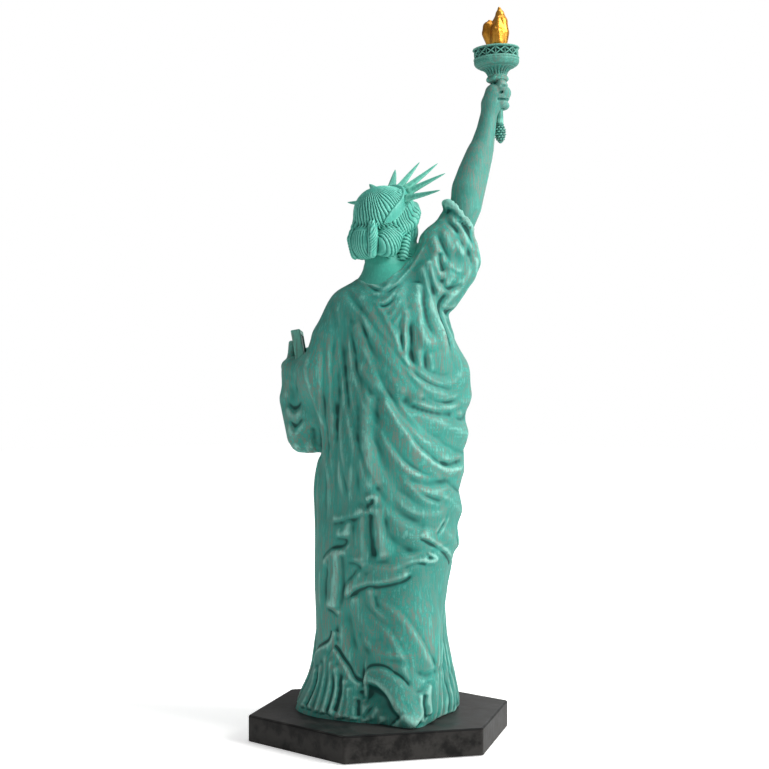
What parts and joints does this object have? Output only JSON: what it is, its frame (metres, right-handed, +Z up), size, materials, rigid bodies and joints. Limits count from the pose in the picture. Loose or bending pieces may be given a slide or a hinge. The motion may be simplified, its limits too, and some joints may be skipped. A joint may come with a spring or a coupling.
{
  "type": "miniature landmark statue figurine",
  "caption": "Resin souvenir figurine of a robed torch bearer with rayed crown and tablet, in verdigris paint with a gilt flame, on a low black hexagonal plinth.",
  "frame": {"origin": "centre of the resting face of the felt pad under the plinth, on the hexagon's axis", "axes": "+Z up; the statue's front faces -Y, square to one flat of the hexagon; her raised right arm is towards -X and her left hand with the tablet towards +X"},
  "size_m": [0.1108, 0.0987, 0.3024],
  "materials": {
    "plinth_black": "cast resin, satin black paint",
    "felt": "black felt",
    "screw_steel": "plain steel",
    "dowel_steel": "plain drawn wire",
    "verdigris_resin": "cast resin painted verdigris with grey dry brushing",
    "verdigris_bright": "cast resin painted clear verdigris, little dry brushing",
    "gilt": "cast resin, metallic gold paint"
  },
  "bodies": {
    "root": {"plinth": "plinth_black", "felt_pad": "felt", "base_screws": "screw_steel", "robe_casting": "verdigris_resin", "neck_dowel": "dowel_steel", "head_casting": "verdigris_bright", "diadem": "verdigris_bright", "crown_rays": "verdigris_bright", "right_arm_casting": "verdigris_resin", "arm_rod": "dowel_steel", "torch_handle": "verdigris_resin", "torch_finial": "verdigris_resin", "torch_cup": "verdigris_resin", "gallery_ring": "verdigris_resin", "flame": "gilt", "left_hand_casting": "verdigris_resin", "hand_pin": "dowel_steel", "tablet": "verdigris_resin", "tablet_pin": "dowel_steel"}
  },
  "joints": []
}
